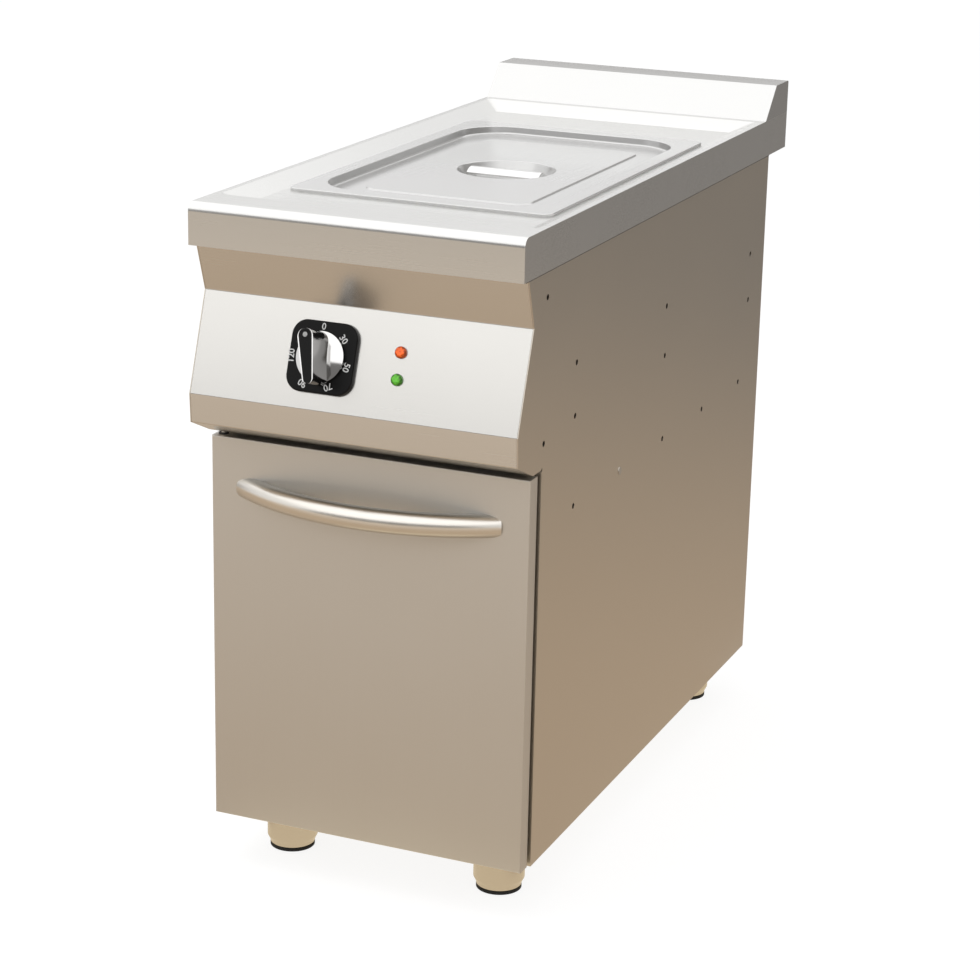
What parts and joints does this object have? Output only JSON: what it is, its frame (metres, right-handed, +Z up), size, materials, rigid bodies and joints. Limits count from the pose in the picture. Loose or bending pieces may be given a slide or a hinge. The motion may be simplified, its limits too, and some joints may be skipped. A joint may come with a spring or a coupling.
{
  "type": "bain-marie cabinet",
  "caption": "Floor-standing steel bain-marie cabinet with a lidded pan well, thermostat knob, pilot lamps, cupboard door with a bow handle, and levelling feet.",
  "frame": {"origin": "centre of the bounding box, on the floor", "axes": "+X to the user's right, +Y to the back, +Z up"},
  "size_m": [0.4, 0.9682, 0.85],
  "materials": {
    "top_steel": "satin brushed stainless steel",
    "side_steel": "satin brushed stainless steel",
    "panel_steel": "satin brushed stainless steel",
    "door_steel": "satin brushed stainless steel",
    "inner_steel": "mill-finish steel",
    "lid_steel": "bright satin stainless steel",
    "handle_metal": "polished satin metal",
    "foot_steel": "satin stainless steel",
    "pad_rubber": "black rubber",
    "dial_black": "black moulded plastic",
    "knob_chrome": "chromed moulded plastic",
    "lens_orange": "tinted lens",
    "lens_green": "tinted lens",
    "inner_plastic": "moulded plastic",
    "fixing_steel": "plain steel",
    "fitting_brass": "plain brass",
    "wire_cover": "silicone sleeve"
  },
  "bodies": {
    "cabinet": {"back_panel": "side_steel", "base_tray": "inner_steel", "cable_gland": "inner_plastic", "clamp_studs": "fixing_steel", "compartment_ceiling": "inner_steel", "control_panel": "panel_steel", "dial_plate": "dial_black", "drain_fitting": "fitting_brass", "drain_nut": "fitting_brass", "drain_pipe": "fitting_brass", "front_rail": "inner_steel", "heater_clamps": "inner_steel", "heater_element": "fixing_steel", "hinge_bracket_bottom": "inner_steel", "hinge_bracket_top": "inner_steel", "hinge_pin_bottom": "fixing_steel", "hinge_pin_top": "fixing_steel", "hinge_screws": "fixing_steel", "internal_wiring": "wire_cover", "lamp_green": "lens_green", "lamp_green_body": "inner_plastic", "lamp_orange": "lens_orange", "lamp_orange_body": "inner_plastic", "leg_sleeves": "foot_steel", "limit_thermostat": "inner_plastic", "magnetic_catch": "inner_plastic", "panel_rivets": "fixing_steel", "side_panel_left": "side_steel", "side_panel_right": "side_steel", "terminal_block": "inner_plastic", "thermostat_body": "inner_plastic", "thermostat_bulb": "fitting_brass", "thermostat_capillary": "fitting_brass", "upstand": "top_steel", "valve_body": "fitting_brass", "water_tank": "inner_steel", "worktop": "top_steel"},
    "door": {"door_skin": "door_steel", "door_liner": "inner_steel", "door_bush_top": "inner_plastic", "door_bush_bottom": "inner_plastic", "door_handle": "handle_metal", "handle_screws": "fixing_steel", "strike_plate": "inner_steel"},
    "knob": {"knob_body": "knob_chrome", "knob_insert": "dial_black", "thermostat_shaft": "fixing_steel"},
    "valve": {"valve_ball": "fitting_brass", "valve_lever": "fixing_steel"},
    "pan": {"food_pan": "lid_steel"},
    "lid": {"pan_lid": "lid_steel", "lid_handle": "lid_steel"},
    "front_left_foot": {"foot_front_left": "foot_steel", "foot_pad_front_left": "pad_rubber"},
    "front_right_foot": {"foot_front_right": "foot_steel", "foot_pad_front_right": "pad_rubber"},
    "rear_left_foot": {"foot_rear_left": "foot_steel", "foot_pad_rear_left": "pad_rubber"},
    "rear_right_foot": {"foot_rear_right": "foot_steel", "foot_pad_rear_right": "pad_rubber"}
  },
  "joints": [
    {"name": "door_hinge", "type": "hinge", "parent": "cabinet", "child": "door", "pos_m": [-0.1875, -0.39151, 0.297], "axis": [0, 0, -1], "range_deg": [0, 105]},
    {"name": "thermostat_turn", "type": "hinge", "parent": "cabinet", "child": "knob", "pos_m": [-0.041, -0.43117, 0.64753], "axis": [0, 0.9459, -0.3243], "range_deg": [0, 275]},
    {"name": "drain_valve_turn", "type": "hinge", "parent": "cabinet", "child": "valve", "pos_m": [-0.07, -0.21621, 0.489], "axis": [0, 1, 0], "range_deg": [0, 90]},
    {"name": "pan_lift", "type": "slide", "parent": "cabinet", "child": "pan", "axis": [0, 0, 1], "range_m": [0, 0.2]},
    {"name": "lid_lift", "type": "slide", "parent": "pan", "child": "lid", "axis": [0, 0, 1], "range_m": [0, 0.15]},
    {"name": "front_left_level", "type": "slide", "parent": "cabinet", "child": "front_left_foot", "axis": [0, 0, -1], "range_m": [0, 0.03]},
    {"name": "front_right_level", "type": "slide", "parent": "cabinet", "child": "front_right_foot", "axis": [0, 0, -1], "range_m": [0, 0.03]},
    {"name": "rear_left_level", "type": "slide", "parent": "cabinet", "child": "rear_left_foot", "axis": [0, 0, -1], "range_m": [0, 0.03]},
    {"name": "rear_right_level", "type": "slide", "parent": "cabinet", "child": "rear_right_foot", "axis": [0, 0, -1], "range_m": [0, 0.03]}
  ]
}
